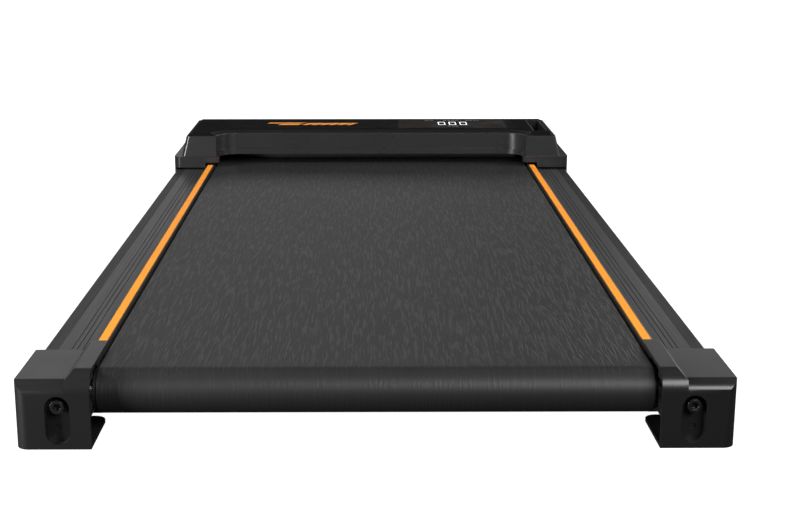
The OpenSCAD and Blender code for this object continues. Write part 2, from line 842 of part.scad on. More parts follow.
module hood_upper(g, z0, z1, bay_r) {
    intersection() {
        translate([0, 0, z0]) linear_extrude(z1 - z0) difference() {
            translate([-upper_x, hood_y]) square([2 * upper_x, hood_l]);
            bay(wall_in + g, wall_y + g, bay_r);
        }
        along_y(hood_y, front) polygon([[-upper_x + g, 0], [-upper_x + g, hood_step],
            [-upper_x + lean + g, hood_roof], [upper_x - lean - g, hood_roof],
            [upper_x - g, hood_step], [upper_x - g, 0]]);
        along_x(-hood_x, hood_x) polygon([[hood_y + 3 + g, 0], [hood_y + 3 + g, hood_step],
            [hood_y + 5.5 + g, hood_roof], [roof_back - g, hood_roof], [upper_back - g, hood_step],
            [upper_back - g, 0]]);
    }
}

module hood_cavity() {
    difference() {
        union() {
            hood_lower(hood_wall, -1, hood_step - hood_wall, recess_r - 4 + hood_wall);
            hood_upper(hood_wall, hood_step - 12, hood_roof - hood_wall, recess_r + hood_wall);
        }
        // screw posts stay standing in the cavity
        for (p = boss_at) translate([p[0], p[1], cover_z + cover_t]) difference() {
            cylinder(h = total_h, r = boss_r);
            translate([0, 0, -1]) cylinder(h = 12, r = cover_screw_r);
        }
    }
}

module hood() {
    color("dimgray") difference() {
        union() {
            hood_lower(0, hood_floor, hood_step, recess_r - 4);
            hood_upper(0, hood_step - 1, hood_roof, recess_r);
            // lip across the middle, above the belt
            translate([0, 0, lip_z0]) linear_extrude(lip_z1 - lip_z0) difference() {
                translate([-wall_in - 5, hood_y + 10]) square([2 * wall_in + 10, recess_d + 2]);
                bay(flange_in, lip_y, recess_r - 4);
            }
        }
        hood_cavity();
        // the rails run in under the feet
        box(-rail_out - 0.3, rail_out + 0.3, hood_y - 1, hood_y + hood_corner_r, -1, foot_z);
        box(-notch_x, notch_x, hood_y - 1, lip_y + hood_wall + 1, -1, flange_z);
        box(-flange_in, flange_in, hood_y - 1, lip_y + 12, -1, lip_z0);
        // window light well, pocket, wheel cut-outs and power entry
        box(digit_x0 - 6, digit_x0 + 3 * digit_pitch + 3, digit_y0 - 6, digit_y0 + digit_h + 6,
            hood_roof - hood_wall - 1, total_h);
        box(pocket_x0 - pocket_wall - 0.2, pocket_x1 + pocket_wall + 0.2, pocket_y0 - pocket_wall - 0.2,
            pocket_y0 + pocket_l + pocket_wall + 0.2, hood_roof - hood_wall - 1, total_h);
        for (s = [-1, 1]) at_side(s)
            box(wheel_x0 - 2, wheel_x0 + wheel_w + 2, front - 8, front + 1, -1, wheel_z + wheel_r + 4);
        box(inlet_x - inlet_w / 2, inlet_x + inlet_w / 2, front - 8, front + 1,
            entry_z - inlet_h / 2, entry_z + inlet_h / 2);
        box(switch_x - switch_w / 2, switch_x + switch_w / 2, front - 8, front + 1,
            entry_z - switch_h / 2, entry_z + switch_h / 2);
        rod_y(breaker_x, front - 8, front + 1, entry_z, reset_r + 2.2);
    }
}

module top_panel() {
    color("black") translate([0, 0, hood_roof]) linear_extrude(panel_t) difference() {
        round_rect(-panel_x, panel_x, panel_y0, panel_back, 2);
        bay(panel_in, panel_front, recess_r + 2);
        translate([window_x0, window_y0]) square([window_w, window_l]);
        translate([pocket_x0 - pocket_wall - 0.2, pocket_y0 - pocket_wall - 0.2])
            square([pocket_w + 2 * pocket_wall + 0.4, pocket_l + 2 * pocket_wall + 0.4]);
    }
}

module display_window() {
    color("darkslategray")
        box(window_x0 + 0.1, window_x0 + window_w - 0.1, window_y0 + 0.1, window_y0 + window_l - 0.1,
            hood_roof, total_h);
}

module digit_place() {
    for (i = [0 : 2]) translate([digit_x0 + i * digit_pitch, digit_y0, 0]) children();
}

module display_board() {
    color("green") {
        box(window_x0 + 10, window_x0 + window_w - 10, window_y0 + 6, window_y0 + window_l - 12,
            board_z, board_z + board_t);
        for (x = [window_x0 + 16, window_x0 + window_w - 16])
            translate([x, window_y0 + 14, board_z + board_t - eps]) cylinder(h = 8 - board_t, r = 3);
    }
}

module display_digits() {
    z0 = board_z + board_t;
    color("white") digit_place() translate([-1, -1, z0]) cube([digit_w + 2, digit_h + 2, 6]);
}

module remote_pocket() {
    color("black") difference() {
        box(pocket_x0 - pocket_wall, pocket_x1 + pocket_wall, pocket_y0 - pocket_wall,
            pocket_y0 + pocket_l + pocket_wall, total_h - pocket_d - pocket_wall, total_h);
        box(pocket_x0, pocket_x1, pocket_y0, pocket_y0 + pocket_l, total_h - pocket_d, total_h + 1);
    }
}

// ---- electronics and power entry ----

module control_board() {
    color("green") {
        box(ctrl_x0, ctrl_x0 + ctrl_w, ctrl_y0, ctrl_y0 + ctrl_l, ctrl_z, ctrl_z + board_t);
        for (x = [ctrl_x0 + 5, ctrl_x0 + ctrl_w - 5]) for (y = [ctrl_y0 + 5, ctrl_y0 + ctrl_l - 5])
            translate([x, y, frame_z + frame_t]) cylinder(h = ctrl_z - frame_z - frame_t + eps, r = 3);
        for (i = [0 : 2]) translate([ctrl_x0 + 20 + i * 22, ctrl_y0 + 14, ctrl_z + board_t - eps])
            cylinder(h = 30, r = 9);
        box(ctrl_x0 + 60, ctrl_x0 + 88, ctrl_y0 + 40, ctrl_y0 + 62, ctrl_z + board_t - eps, ctrl_z + 20);
    }
}

module heat_sink() {
    z0 = ctrl_z + board_t;
    fins = 7;
    color("silver") {
        box(ctrl_x0 + 8, ctrl_x0 + 52, ctrl_y0 + 36, ctrl_y0 + 62, z0, z0 + 4);
        for (i = [0 : fins - 1])
            box(ctrl_x0 + 8, ctrl_x0 + 52, ctrl_y0 + 36 + i * 4, ctrl_y0 + 38 + i * 4, z0 + 4 - eps, z0 + 26);
    }
}

module power_inlet() {
    color("black") difference() {
        union() {
            box(inlet_x - inlet_w / 2 + 0.2, inlet_x + inlet_w / 2 - 0.2, front - 24, front - 0.2,
                entry_z - inlet_h / 2 + 0.2, entry_z + inlet_h / 2 - 0.2);
            for (x = [-7, 0, 7]) box(inlet_x + x - 2, inlet_x + x + 2, front - 31, front - 24 + eps,
                entry_z - 0.8, entry_z + 0.8);
        }
        difference() {
            box(inlet_x - inlet_w / 2 + 2, inlet_x + inlet_w / 2 - 2, front - 20, front + 1,
                entry_z - inlet_h / 2 + 3, entry_z + inlet_h / 2 - 3);
            for (x = [-7, 0, 7]) box(inlet_x + x - 2, inlet_x + x + 2, front - 21, front - 6,
                entry_z - 0.8, entry_z + 0.8);
        }
    }
}

module switch_body() {
    color("black") difference() {
        box(switch_x - switch_w / 2 + 0.2, switch_x + switch_w / 2 - 0.2, front - 20, front - 0.2,
            entry_z - switch_h / 2 + 0.2, entry_z + switch_h / 2 - 0.2);
        box(switch_x - switch_w / 2 + 1.5, switch_x + switch_w / 2 - 1.5, front - 13, front + 1,
            entry_z - switch_h / 2 + 1.5, entry_z + switch_h / 2 - 1.5);
    }
}

// the rocker tips about an upright axis through its middle, and is drawn switched off
module switch_rocker() {
    half = switch_w / 2 - 2.6;
    color("black") translate([switch_x, front - 7, entry_z - switch_h / 2 + 2]) rotate(-rocker_tilt)
        linear_extrude(switch_h - 4) difference() {
            union() {
                translate([-half, -1.5]) square([2 * half, 7]);
                circle(r = 3);
            }
            translate([0, rocker_dish + 4]) circle(r = rocker_dish);
        }
}

module breaker_body() {
    color("black") difference() {
        union() {
            rod_y(breaker_x, front - 6, front - 0.2, entry_z, reset_r + 2);
            box(breaker_x - 7.5, breaker_x + 7.5, front - 24, front - 6 + eps, entry_z - 14, entry_z + 14);
        }
        rod_y(breaker_x, front - 11.5 - reset_travel, front + 1, entry_z, reset_r + 0.3);
    }
}

module reset_button() {
    color("black") rod_y(breaker_x, front - 9, front - 0.5, entry_z, reset_r);
}

// ---- wheels and feet ----

module wheel(s) {
    color("black") at_side(s) difference() {
        rod_x(wheel_x0, wheel_x0 + wheel_w, wheel_y, wheel_z, wheel_r);
        rod_x(wheel_x0 - 1, wheel_x0 + wheel_w + 1, wheel_y, wheel_z, axle_r + run_play);
        difference() {
            rod_x(wheel_x0 + wheel_w - 2, wheel_x0 + wheel_w + 1, wheel_y, wheel_z, wheel_r - 4);
            rod_x(wheel_x0, wheel_x0 + wheel_w, wheel_y, wheel_z, 7);
        }
    }
}

module wheel_axles() {
    color("silver") for (s = [-1, 1]) at_side(s) {
        rod_x(frame_x - 5, wheel_x0 + wheel_w + 0.6, wheel_y, wheel_z, axle_r);
        rod_x(wheel_x0 + wheel_w + 0.5, wheel_x0 + wheel_w + 2.5, wheel_y, wheel_z, axle_r + 2.5);
        rod_x(frame_x + 0.3, wheel_x0 - 0.3, wheel_y, wheel_z, axle_r + 2);
    }
}

module feet() {
    color("black") {
        for (s = [-1, 1]) at_side(s) for (y = foot_ys)
            translate([rail_in + rail_w / 2, y, 0]) cylinder(h = rail_z, r = foot_r);
        for (x = [-150, 150]) translate([x, motor_y, 0]) cylinder(h = cover_z, r = foot_r);
    }
}

rail(-1);  // rail_left
rail(1);  // rail_right
stripe(-1);  // stripe_left
stripe(1);  // stripe_right
rear_cap(-1);  // rear_cap_left
rear_cap(1);  // rear_cap_right
slot_cup(-1);  // slot_cup_left
slot_cup(1);  // slot_cup_right
rear_bracket(-1);  // rear_bracket_left
rear_bracket(1);  // rear_bracket_right
tension_block(-1);  // tension_block_left
tension_block(1);  // tension_block_right
tension_screw(-1);  // tension_screw_left
tension_screw(1);  // tension_screw_right
cap_screws();
belt();
deck();
deck_cushions();
cross_bars();
deck_screws();
rear_roller();
rear_roller_bearings();
rear_roller_shaft();
front_roller();
front_roller_bearings();
front_roller_shaft();
roller_pulley();
motor_housing();
motor_bracket();
motor_shaft();
motor_pulley();
cooling_fan();
drive_belt();
front_frame();
belt_guard();
frame_bolts();
bottom_cover();
cover_screws();
hood();
top_panel();
display_window();
display_board();
display_digits();
remote_pocket();
control_board();
heat_sink();
power_inlet();
switch_body();
switch_rocker();
breaker_body();
reset_button();
wheel(-1);  // wheel_left
wheel(1);  // wheel_right
wheel_axles();
feet();
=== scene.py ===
import json
import math

import bmesh
import bpy
from mathutils import Matrix, Vector


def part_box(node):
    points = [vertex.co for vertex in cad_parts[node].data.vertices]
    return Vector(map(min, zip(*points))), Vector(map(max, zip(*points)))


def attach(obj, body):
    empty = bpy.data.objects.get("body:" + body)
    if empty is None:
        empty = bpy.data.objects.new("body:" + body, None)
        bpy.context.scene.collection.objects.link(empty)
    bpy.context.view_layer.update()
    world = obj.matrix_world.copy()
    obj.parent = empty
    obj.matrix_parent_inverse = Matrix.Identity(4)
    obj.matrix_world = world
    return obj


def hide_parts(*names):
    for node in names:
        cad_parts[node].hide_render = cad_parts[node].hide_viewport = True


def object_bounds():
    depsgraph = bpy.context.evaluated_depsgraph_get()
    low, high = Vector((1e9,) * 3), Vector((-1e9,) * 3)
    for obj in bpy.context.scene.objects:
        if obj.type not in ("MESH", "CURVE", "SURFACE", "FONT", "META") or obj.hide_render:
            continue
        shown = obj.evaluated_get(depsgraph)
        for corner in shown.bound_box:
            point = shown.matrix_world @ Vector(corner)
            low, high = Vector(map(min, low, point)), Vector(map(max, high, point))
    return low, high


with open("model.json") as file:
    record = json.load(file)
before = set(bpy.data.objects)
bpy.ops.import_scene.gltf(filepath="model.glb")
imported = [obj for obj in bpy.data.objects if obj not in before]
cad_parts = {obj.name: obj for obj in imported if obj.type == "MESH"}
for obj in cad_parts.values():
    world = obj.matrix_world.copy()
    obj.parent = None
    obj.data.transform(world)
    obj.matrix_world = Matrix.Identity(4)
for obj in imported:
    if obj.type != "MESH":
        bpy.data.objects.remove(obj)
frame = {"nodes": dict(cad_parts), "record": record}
cad_low, cad_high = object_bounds()

MM = 0.001
scene = bpy.context.scene
record = frame["record"]
BODY_OF = {n: b for b, nodes in record["behaviour"]["bodies"].items() for n in nodes}
SLOT_OF = {s["node"]: s["material_slot"] for s in record["subparts"]}

# ---- places taken from the frame ----

REAR = cad_low.y
FRONT = cad_high.y
belt_low, belt_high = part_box("belt")
hood_low, hood_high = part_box("hood")
panel_low, panel_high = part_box("top_panel")
window_low, window_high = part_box("display_window")
digits_low, digits_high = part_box("display_digits")
pocket_low, pocket_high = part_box("remote_pocket")
HOOD_FACE = hood_low.y
HOOD_ROOF = hood_high.z
PANEL_TOP = panel_high.z


# ---- shader effects ----

def effect(name, inputs, outputs):
    """A shader node group with its ends, its sockets given as (name, socket type, value)."""
    tree = bpy.data.node_groups.new(name, "ShaderNodeTree")
    for label, kind, value in inputs:
        socket = tree.interface.new_socket(label, in_out="INPUT", socket_type=kind)
        socket.default_value = value
    for label, kind in outputs:
        tree.interface.new_socket(label, in_out="OUTPUT", socket_type=kind)
    return tree, tree.nodes.new("NodeGroupInput"), tree.nodes.new("NodeGroupOutput")


def node(tree, kind, settings=None, links=None):
    """One shader node: settings by socket or property name, links as socket name to (node, output)."""
    made = tree.nodes.new(kind)
    for key, value in (settings or {}).items():
        if key in made.inputs.keys() or isinstance(key, int):
            made.inputs[key].default_value = value
        else:
            setattr(made, key, value)
    for key, (source, output) in (links or {}).items():
        tree.links.new(source.outputs[output], made.inputs[key])
    return made


def moulded_grain():
    """The fine spark-eroded skin of a moulded part, and the soft unevenness under it."""
    tree, ends, out = effect("moulded_grain", [("Grains per metre", "NodeSocketFloat", 1400.0)],
                             [("Height", "NodeSocketFloat"), ("Blotch", "NodeSocketFloat")])
    place = node(tree, "ShaderNodeTexCoord")
    fine = node(tree, "ShaderNodeTexNoise", {"Detail": 3.0, "Roughness": 0.65},
                {"Vector": (place, "Object"), "Scale": (ends, "Grains per metre")})
    blotch = node(tree, "ShaderNodeTexNoise", {"Scale": 22.0, "Detail": 4.0}, {"Vector": (place, "Object")})
    tree.links.new(fine.outputs["Fac"], out.inputs["Height"])
    tree.links.new(blotch.outputs["Fac"], out.inputs["Blotch"])
    return tree


def settled_dust():
    """A thin, patchy film that lies only on what faces up."""
    tree, ends, out = effect("settled_dust", [("Amount", "NodeSocketFloat", 0.1)],
                             [("Film", "NodeSocketFloat")])
    place = node(tree, "ShaderNodeTexCoord")
    facing = node(tree, "ShaderNodeNewGeometry")
    split = node(tree, "ShaderNodeSeparateXYZ", None, {"Vector": (facing, "Normal")})
    up = node(tree, "ShaderNodeMapRange", {"From Min": 0.5, "From Max": 1.0}, {"Value": (split, "Z")})
    patches = node(tree, "ShaderNodeTexNoise", {"Scale": 14.0, "Detail": 6.0, "Roughness": 0.7},
                   {"Vector": (place, "Object")})
    mottled = node(tree, "ShaderNodeMapRange", {"From Min": 0.35, "From Max": 0.75},
                   {"Value": (patches, "Fac")})
    both = node(tree, "ShaderNodeMath", {"operation": "MULTIPLY"},
                {0: (up, "Result"), 1: (mottled, "Result")})
    film = node(tree, "ShaderNodeMath", {"operation": "MULTIPLY"}, {0: (both, 0), 1: (ends, "Amount")})
    tree.links.new(film.outputs[0], out.inputs["Film"])
    return tree


def drawn_lines():
    """Hair-fine lines that run one way along a drawn or turned metal piece."""
    tree, ends, out = effect("drawn_lines", [("Run", "NodeSocketVector", (2400.0, 12.0, 2400.0))],
                             [("Height", "NodeSocketFloat")])
    place = node(tree, "ShaderNodeTexCoord")
    scaled = node(tree, "ShaderNodeVectorMath", {"operation": "MULTIPLY"},
                  {0: (place, "Object"), 1: (ends, "Run")})
    lines = node(tree, "ShaderNodeTexNoise", {"Scale": 1.0, "Detail": 2.0}, {"Vector": (scaled, "Vector")})
    tree.links.new(lines.outputs["Fac"], out.inputs["Height"])
    return tree


GRAIN = moulded_grain()
DUST = settled_dust()
LINES = drawn_lines()


# ---- materials ----

def placed(tree, group, **values):
    """A shader group set in a material, its inputs by label with _ for a space."""
    made = tree.nodes.new("ShaderNodeGroup")
    made.node_tree = group
    for label, value in values.items():
        made.inputs[label.replace("_", " ")].default_value = value
    return made


def start(name, roughness, metallic=0.0):
    """A new material with its node tree and its surface shader."""
    material = bpy.data.materials.new(name)
    material.use_nodes = True
    surface = material.node_tree.nodes["Principled BSDF"]
    surface.inputs["Roughness"].default_value = roughness
    surface.inputs["Metallic"].default_value = metallic
    return material, material.node_tree, surface


def blend_colour(tree, dark, light, factor):
    """A mix of two colours by a node's value, given as (node, output)."""
    mix = node(tree, "ShaderNodeMix", {"data_type": "RGBA"})
    mix.inputs[6].default_value = (*dark, 1.0)
    mix.inputs[7].default_value = (*light, 1.0)
    tree.links.new(factor[0].outputs[factor[1]], mix.inputs[0])
    return mix


def scaled(colour, factor):
    return tuple(c * factor for c in colour)


def spread(tree, source, low, high, from_low=0.3, from_high=0.7):
    """A value between low and high, from a noise that stays near its middle."""
    return node(tree, "ShaderNodeMapRange",
                {"From Min": from_low, "From Max": from_high, "To Min": low, "To Max": high},
                {"Value": source})


def bumped(tree, surface, height, depth, strength=0.5):
    """Roughens the surface by a height given as (node, output), depth in metres."""
    bump = node(tree, "ShaderNodeBump", {"Strength": strength, "Distance": depth}, {"Height": height})
    tree.links.new(bump.outputs["Normal"], surface.inputs["Normal"])


def plastic(name, colour, roughness, grain=1400.0, depth=0.00006, dust=0.025, strength=0.35, glint=0.5):
    """Moulded plastic: a grained skin, slightly uneven in colour and gloss, with a trace of dust."""
    material, tree, surface = start(name, roughness)
    surface.inputs["Specular IOR Level"].default_value = glint
    skin = placed(tree, GRAIN, Grains_per_metre=grain)
    film = placed(tree, DUST, Amount=dust)
    base = blend_colour(tree, scaled(colour, 0.9), scaled(colour, 1.1), (skin, "Blotch"))
    dusty = blend_colour(tree, colour, (0.32, 0.31, 0.3), (film, "Film"))
    tree.links.new(base.outputs[2], dusty.inputs[6])
    tree.links.new(dusty.outputs[2], surface.inputs["Base Color"])
    gloss = spread(tree, (skin, "Blotch"), roughness * 0.94, roughness * 1.06)
    tree.links.new(gloss.outputs[0], surface.inputs["Roughness"])
    bumped(tree, surface, (skin, "Height"), depth, strength)
    return material


def metal(name, colour, roughness, run=(2400.0, 12.0, 2400.0), depth=0.00002, metallic=1.0):
    """Drawn, turned or plated metal with lines along its working direction."""
    material, tree, surface = start(name, roughness, metallic)
    lines = placed(tree, LINES, Run=run)
    skin = placed(tree, GRAIN, Grains_per_metre=90.0)
    base = blend_colour(tree, scaled(colour, 0.88), scaled(colour, 1.1), (skin, "Height"))
    tree.links.new(base.outputs[2], surface.inputs["Base Color"])
    gloss = spread(tree, (lines, "Height"), roughness * 0.8, roughness * 1.25)
    tree.links.new(gloss.outputs[0], surface.inputs["Roughness"])
    bumped(tree, surface, (lines, "Height"), depth, 0.4)
    return material


def belt_rubber():
    """Black rubber cloth, embossed with short raised streaks that run with the belt; the raised streaks are
    also painted lighter, a painted highlight for the sheen they catch.
    """
    material, tree, surface = start("belt_rubber", 0.5)
    run = node(tree, "ShaderNodeUVMap", {"uv_map": "run"})
    streaks = []
    for across, along, place_at in ((330.0, 27.0, 0.0), (560.0, 48.0, 7.3)):
        place = node(tree, "ShaderNodeMapping",
                     {"Location": (place_at, place_at, 0.0), "Scale": (across, along, 1.0)},
                     {"Vector": (run, "UV")})
        streaks.append(node(tree, "ShaderNodeTexNoise",
                            {"noise_dimensions": "2D", "Scale": 1.0, "Detail": 1.0, "Distortion": 0.4},
                            {"Vector": (place, "Vector")}))
    both = node(tree, "ShaderNodeMath", {"operation": "ADD"},
                {0: (streaks[0], "Fac"), 1: (streaks[1], "Fac")})
    raised = node(tree, "ShaderNodeMapRange",
                  {"interpolation_type": "SMOOTHSTEP", "From Min": 0.92, "From Max": 1.3},
                  {"Value": (both, 0)})
    # the streaks are flattened, and their painted highlight made fainter, where the cloth is drawn round the
    # roller
    position = node(tree, "ShaderNodeSeparateXYZ", None, {"Vector": (run, "UV")})
    flatter_and_fainter = node(tree, "ShaderNodeMapRange",
                   {"From Min": -0.012, "From Max": 0.02, "To Min": 0.22, "To Max": 1.0},
                   {"Value": (position, "Y")})
    relief_and_sheen = node(tree, "ShaderNodeMath", {"operation": "MULTIPLY"},
                  {0: (raised, "Result"), 1: (flatter_and_fainter, "Result")})
    skin = placed(tree, GRAIN, Grains_per_metre=2600.0)
    film = placed(tree, DUST, Amount=0.015)
    # painted highlight: the raised streaks are coloured lighter than the rubber between them, standing in for
    # the sheen they catch
    base = blend_colour(tree, (0.012, 0.012, 0.0123), (0.02, 0.02, 0.0205), (relief_and_sheen, 0))
    dusty = blend_colour(tree, (0.07, 0.07, 0.07), (0.3, 0.29, 0.28), (film, "Film"))
    tree.links.new(base.outputs[2], dusty.inputs[6])
    tree.links.new(dusty.outputs[2], surface.inputs["Base Color"])
    gloss = spread(tree, (relief_and_sheen, 0), 0.5, 0.42, 0.0, 1.0)
    tree.links.new(gloss.outputs[0], surface.inputs["Roughness"])
    fine = node(tree, "ShaderNodeBump", {"Strength": 0.15, "Distance": 0.00003}, {"Height": (skin, "Height")})
    bump = node(tree, "ShaderNodeBump", {"Strength": 0.65, "Distance": 0.0004},
                {"Height": (relief_and_sheen, 0), "Normal": (fine, "Normal")})
    tree.links.new(bump.outputs["Normal"], surface.inputs["Normal"])
    return material


def deck_board():
    """Pressed board with a waxed face: a flecked brown."""
    material, tree, surface = start("deck_board", 0.4)
    place = node(tree, "ShaderNodeTexCoord")
    flecks = node(tree, "ShaderNodeTexVoronoi", {"Scale": 420.0}, {"Vector": (place, "Object")})
    base = blend_colour(tree, (0.25, 0.16, 0.09), (0.44, 0.31, 0.19), (flecks, "Distance"))
    tree.links.new(base.outputs[2], surface.inputs["Base Color"])
    bumped(tree, surface, (flecks, "Distance"), 0.00008)
    return material


def gloss_panel(name, colour, roughness, glint=0.5):
    """A glossy dark sheet, its polish a little uneven as if wiped."""
    material, tree, surface = start(name, roughness)
    skin = placed(tree, GRAIN, Grains_per_metre=30.0)
    base = blend_colour(tree, scaled(colour, 0.85), scaled(colour, 1.2), (skin, "Blotch"))
    tree.links.new(base.outputs[2], surface.inputs["Base Color"])
    gloss = spread(tree, (skin, "Height"), roughness * 0.7, roughness * 1.5)
    tree.links.new(gloss.outputs[0], surface.inputs["Roughness"])
    surface.inputs["Specular IOR Level"].default_value = glint
    bumped(tree, surface, (skin, "Blotch"), 0.00002, 0.15)
    return material


def lit_digits():
    """Digits that shine white through the smoked window, faintly mottled."""
    material, tree, surface = start("digit_white", 0.5)
    skin = placed(tree, GRAIN, Grains_per_metre=500.0)
    base = blend_colour(tree, (0.75, 0.77, 0.8), (0.95, 0.96, 1.0), (skin, "Height"))
    tree.links.new(base.outputs[2], surface.inputs["Base Color"])
    tree.links.new(base.outputs[2], surface.inputs["Emission Color"])
    surface.inputs["Emission Strength"].default_value = 0.9
    return material


def circuit_board():
    """Green lacquer over faint copper tracks."""
    material, tree, surface = start("circuit_board", 0.3)
    place = node(tree, "ShaderNodeTexCoord")
    tracks = node(tree, "ShaderNodeTexBrick", {"Scale": 90.0, "Color1": (0.02, 0.13, 0.05, 1.0),
                                               "Color2": (0.03, 0.17, 0.07, 1.0),
                                               "Mortar": (0.09, 0.26, 0.1, 1.0)},
                  {"Vector": (place, "Object")})
    tree.links.new(tracks.outputs["Color"], surface.inputs["Base Color"])
    bumped(tree, surface, (tracks, "Fac"), 0.00005)
    return material


MATERIALS = {
    "rail_metal": metal("rail_metal", (0.05, 0.05, 0.051), 0.4, metallic=0.3),
    "stripe_orange": plastic("stripe_orange", (1.0, 0.34, 0.03), 0.5, grain=900.0, depth=0.00003,
                             dust=0.0, glint=0.12),
    "shell_plastic": plastic("shell_plastic", (0.012, 0.012, 0.0122), 0.3),
    "hood_plastic": plastic("hood_plastic", (0.02, 0.02, 0.0203), 0.28),
    # painted shade: a darker, barely reflecting copy of the hood plastic, so the bezel band reads dark as if
    # in shade
    "shaded_trim_plastic": plastic("shaded_trim_plastic", (0.008, 0.008, 0.0082), 0.4, dust=0.005, glint=0.01),
    "dark_plastic": plastic("dark_plastic", (0.012, 0.012, 0.0125), 0.38),
    "steel": metal("steel", (0.5, 0.51, 0.52), 0.32, run=(60.0, 60.0, 900.0)),
    "black_steel": metal("black_steel", (0.045, 0.045, 0.048), 0.3, run=(900.0, 40.0, 900.0), metallic=0.8),
    "belt_rubber": belt_rubber(),
    "deck_board": deck_board(),
    "soft_rubber": plastic("soft_rubber", (0.025, 0.025, 0.025), 0.6, grain=1900.0, dust=0.08),
    "roller_black": metal("roller_black", (0.02, 0.02, 0.021), 0.35, run=(2200.0, 30.0, 30.0), metallic=0.2),
    "bearing_steel": metal("bearing_steel", (0.6, 0.6, 0.62), 0.15, run=(1500.0, 30.0, 30.0)),
    "alloy": metal("alloy", (0.62, 0.63, 0.64), 0.3, run=(1500.0, 40.0, 40.0)),
    "motor_paint": metal("motor_paint", (0.05, 0.055, 0.06), 0.4, run=(40.0, 900.0, 900.0), metallic=0.2),
    "panel_gloss": gloss_panel("panel_gloss", (0.004, 0.004, 0.0042), 0.06, 0.03),
    "window_gloss": gloss_panel("window_gloss", (0.014, 0.0105, 0.008), 0.08, 0.04),
    "circuit_board": circuit_board(),
    "digit_white": lit_digits(),
    "caption_grey": plastic("caption_grey", (0.32, 0.32, 0.33), 0.5),
    "reset_red": plastic("reset_red", (0.5, 0.03, 0.02), 0.35),
}


# ---- mesh helpers ----

def finished(bm, name, body, slot, material=None):
    """Makes the bmesh a piece of the object that rides on a body and takes its slot's finish."""
    mesh = bpy.data.meshes.new(name)
    bm.to_mesh(mesh)
    bm.free()
    piece = bpy.data.objects.new(name, mesh)
    scene.collection.objects.link(piece)
    mesh.materials.append(material or MATERIALS[slot])
    for face in mesh.polygons:
        face.use_smooth = True
    even = piece.modifiers.new("even_shading", "WEIGHTED_NORMAL")
    even.keep_sharp = True
    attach(piece, body)
    return piece


def merged_copy(cad_node):
    """A bmesh of a CAD node, welded, with its flat faces whole again."""
    bm = bmesh.new()
    bm.from_mesh(frame["nodes"][cad_node].data)
    bmesh.ops.remove_doubles(bm, verts=bm.verts, dist=0.002 * MM)
    bmesh.ops.dissolve_limit(bm, angle_limit=math.radians(0.4), verts=bm.verts, edges=bm.edges)
    return bm


def sharp_edges(bm, angle=28.0, keep=lambda edge: True):
    """The edges that turn by more than an angle in degrees, and that keep accepts."""
    limit = math.radians(angle)
    return [e for e in bm.edges
            if len(e.link_faces) == 2 and e.calc_face_angle(0.0) > limit and keep(e)]


def round_edges(bm, edges, width, segments=3, clamp=True):
    """Eases edges by width; clamp stops them from meeting, but makes all of them narrower."""
    if edges:
        bmesh.ops.bevel(bm, geom=edges, offset=width, offset_type="OFFSET", segments=segments,
                        profile=0.5, affect="EDGES", clamp_overlap=clamp, material=-1)


def mark_sharp(bm, angle=40.0):
    """Leaves a crease in the shading only where faces turn by more than an angle in degrees."""
    for e in bm.edges:
        e.smooth = not (len(e.link_faces) == 2 and e.calc_face_angle(0.0) > math.radians(angle))


def dressed(cad_node, width, segments=3):
    """A piece that stands for a CAD node: the same shape with its edges eased by width."""
    bm = merged_copy(cad_node)
    round_edges(bm, sharp_edges(bm), width, segments)
    mark_sharp(bm)
    piece = finished(bm, cad_node + "_finish", BODY_OF[cad_node], SLOT_OF[cad_node])
    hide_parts(cad_node)
    return piece


# ---- the walking belt ----

def make_belt():
    """The belt's closed loop: two rings stretched over the rollers, joined, and drawn across."""
    radius = (belt_high.z - belt_low.z) / 2
    thick = 1.8 * MM
    axis_z = (belt_high.z + belt_low.z) / 2
    rear_y = belt_low.y + radius
    front_y = belt_high.y - radius
    half = belt_high.x
    steps = 96
    bm = bmesh.new()
    for r in (radius, radius - thick):
        ring = bmesh.ops.create_circle(bm, radius=r, segments=steps)["verts"]
        bmesh.ops.rotate(bm, verts=ring, matrix=Matrix.Rotation(math.pi / steps, 3, "Z"))
        bmesh.ops.rotate(bm, verts=ring, matrix=Matrix.Rotation(math.pi / 2, 3, "Z"))
        for v in ring:
            along = v.co.y + (front_y if v.co.y > 0 else rear_y)
            v.co = Vector((-half, along, axis_z + v.co.x))
    bmesh.ops.bridge_loops(bm, edges=bm.edges)
    side = bmesh.ops.extrude_face_region(bm, geom=bm.faces[:])
    moved = [g for g in side["geom"] if isinstance(g, bmesh.types.BMVert)]
    bmesh.ops.translate(bm, verts=moved, vec=(2 * half, 0, 0))
    bmesh.ops.recalc_face_normals(bm, faces=bm.faces)
    round_edges(bm, sharp_edges(bm, 60.0), 0.4 * MM, 2)
    mark_sharp(bm, 60.0)
    # the map's second axis follows the belt round, with 0 where it leaves the rear roller
    run = bm.loops.layers.uv.new("run")
    straight = front_y - rear_y
    for face in bm.faces:
        for loop in face.loops:
            p = loop.vert.co
            if p.y > front_y:
                s = straight + radius * math.atan2(p.y - front_y, p.z - axis_z)
            elif p.y < rear_y:
                s = -radius * math.atan2(rear_y - p.y, p.z - axis_z)
            else:
                s = p.y - rear_y if p.z > axis_z else straight * 2 + math.pi * radius - (p.y - rear_y)
            loop[run].uv = (p.x, s)
    piece = finished(bm, "walking_belt", "base", "belt_rubber")
    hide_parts("belt")
    return piece


# ---- the motor hood ----

def arc(cx, cy, r, start_deg, end_deg, steps=8):
    """Points along an arc, both ends included."""
    return [(cx + r * math.cos(math.radians(start_deg + (end_deg - start_deg) * i / steps)),
             cy + r * math.sin(math.radians(start_deg + (end_deg - start_deg) * i / steps)))
            for i in range(steps + 1)]


